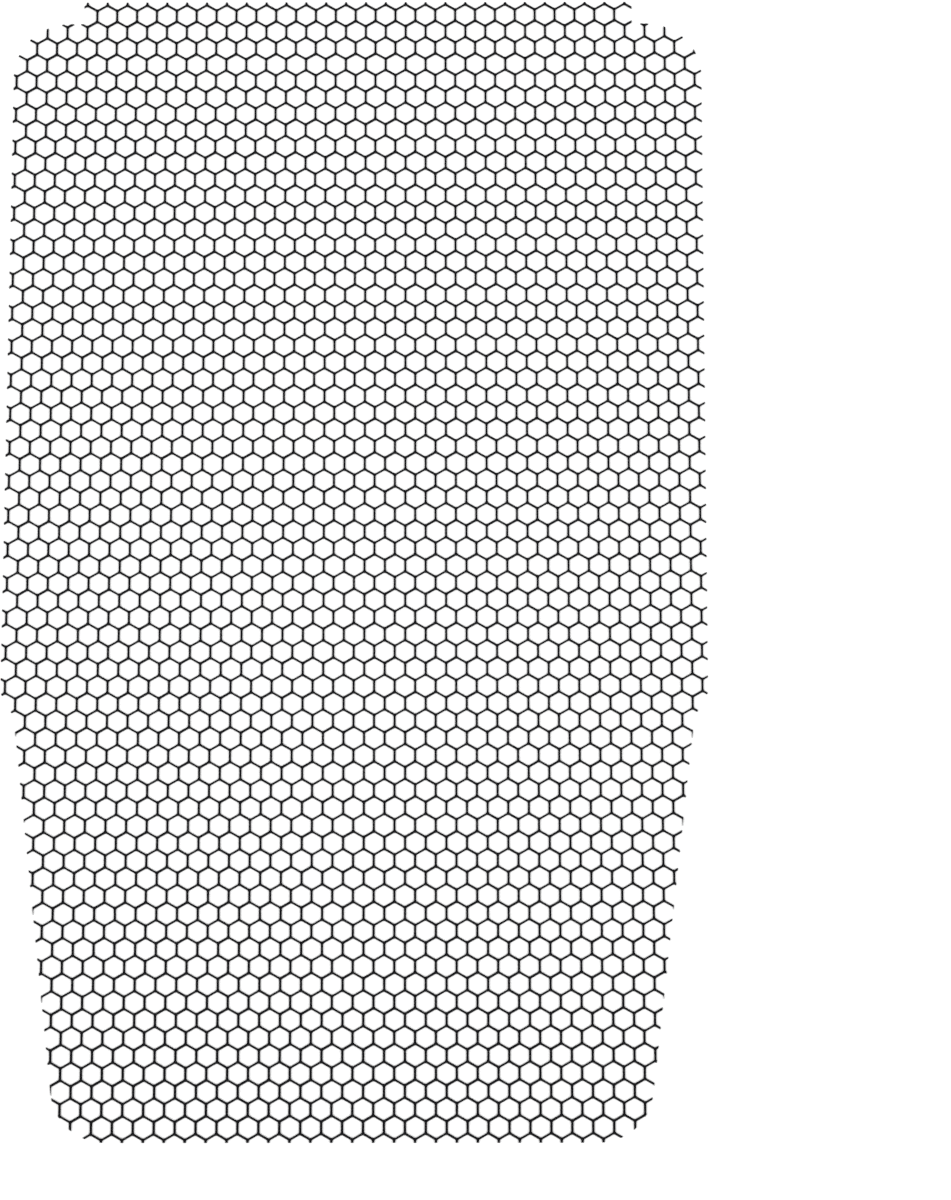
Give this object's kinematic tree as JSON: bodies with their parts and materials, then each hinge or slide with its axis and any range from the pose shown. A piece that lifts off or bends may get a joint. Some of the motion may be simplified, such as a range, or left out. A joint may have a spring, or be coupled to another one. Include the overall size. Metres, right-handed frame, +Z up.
{
  "type": "motorcycle radiator guard",
  "caption": "Flat honeycomb mesh guard for a motorcycle radiator, with rounded corners, a tab along the top and sides that taper to the bottom.",
  "frame": {"origin": "centre of the sheet's underside, which lies on the surface", "axes": "+X across the guard, +Y towards the tab along the top, +Z up through the sheet"},
  "size_m": [0.231, 0.3866, 0.001],
  "materials": {
    "black_coating": "satin"
  },
  "bodies": {
    "root": {"mesh_guard": "black_coating"}
  },
  "joints": []
}
